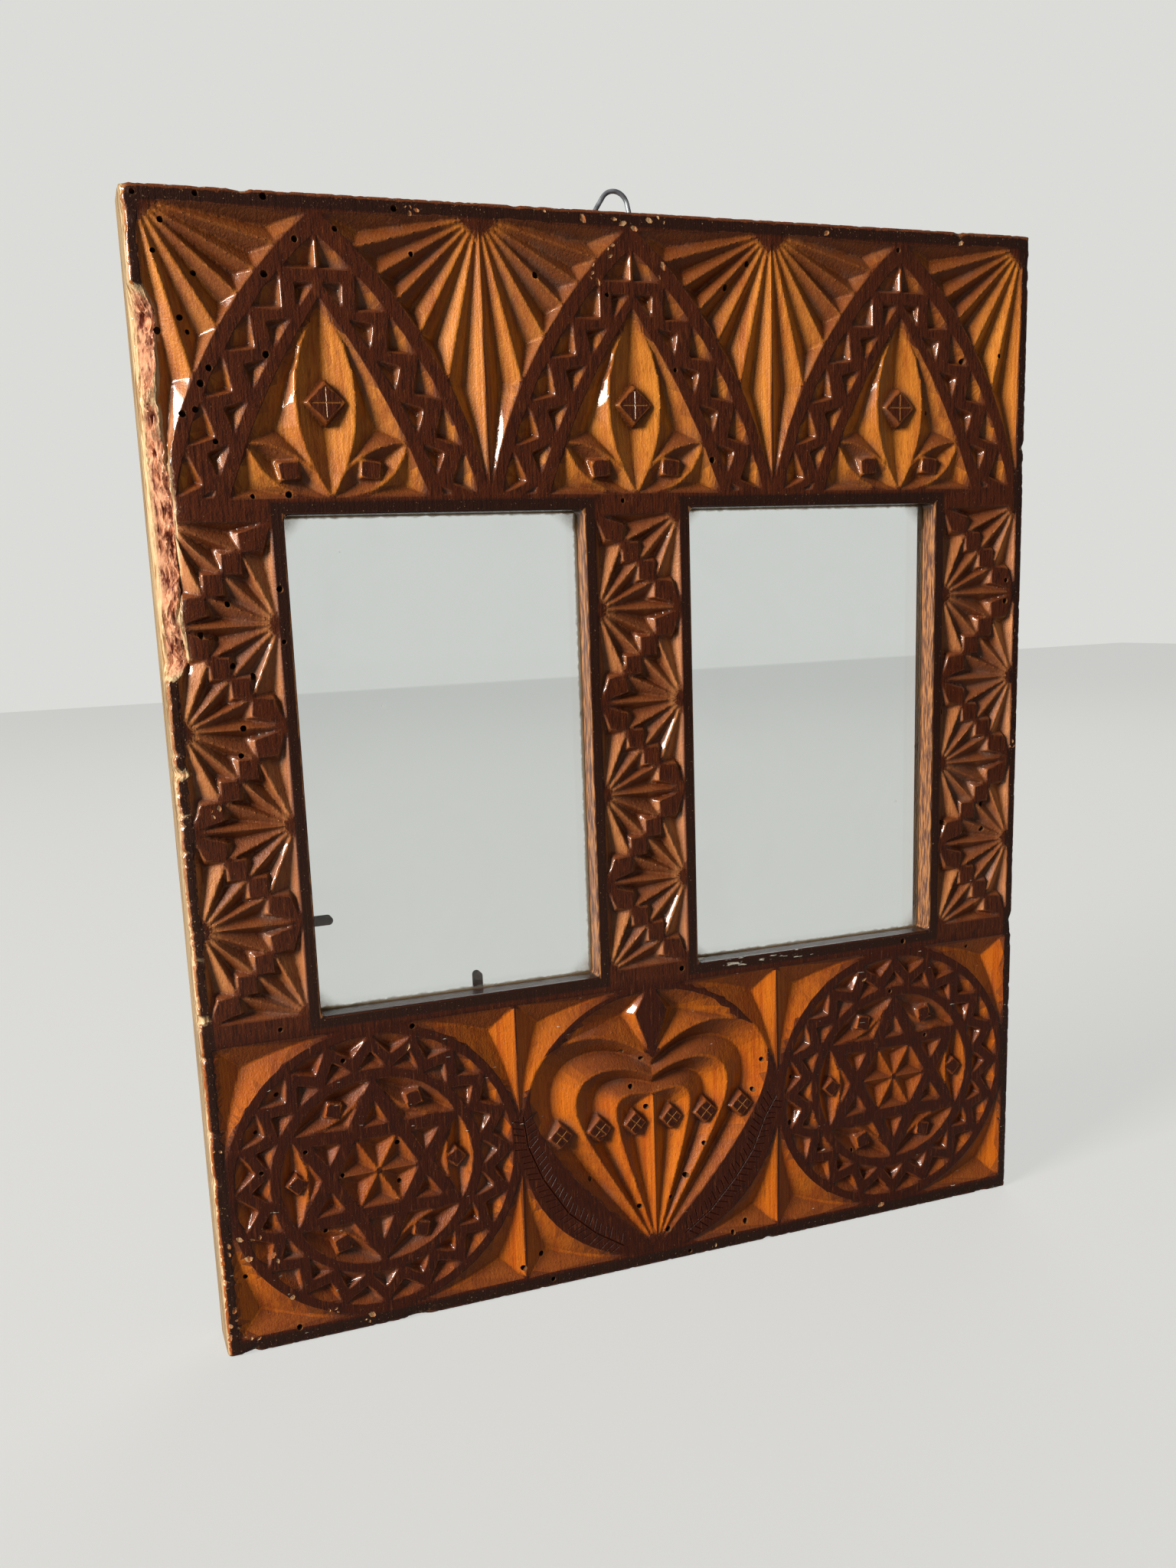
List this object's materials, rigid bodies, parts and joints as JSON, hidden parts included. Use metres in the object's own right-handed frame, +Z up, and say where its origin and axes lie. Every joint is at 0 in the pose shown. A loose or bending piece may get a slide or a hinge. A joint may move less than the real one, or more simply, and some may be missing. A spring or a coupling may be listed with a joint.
{
  "type": "double picture frame",
  "caption": "Chip-carved wooden plank with paired portrait windows glazed from behind, and a wire loop to hang it by.",
  "frame": {"origin": "middle of the flat foot of the plank, half-way through its thickness", "axes": "+Z up along the grain, the carved face looks along -Y and the back along +Y, +X to the right seen from the front"},
  "size_m": [0.258, 0.0186, 0.3102],
  "materials": {
    "varnished_wood": "old reddish-brown varnish, worn at the crests",
    "old_glass": "clear, with grime in the corners",
    "black_iron": "dull, rusted black",
    "drawn_wire": "dull grey drawn wire"
  },
  "bodies": {
    "root": {"carved_board": "varnished_wood", "left_glass": "old_glass", "right_glass": "old_glass", "side_brad": "black_iron", "bottom_brad": "black_iron", "left_hidden_brads": "black_iron", "right_hidden_brads": "black_iron", "hanger_loop": "drawn_wire", "hanger_staples": "drawn_wire"}
  },
  "joints": []
}
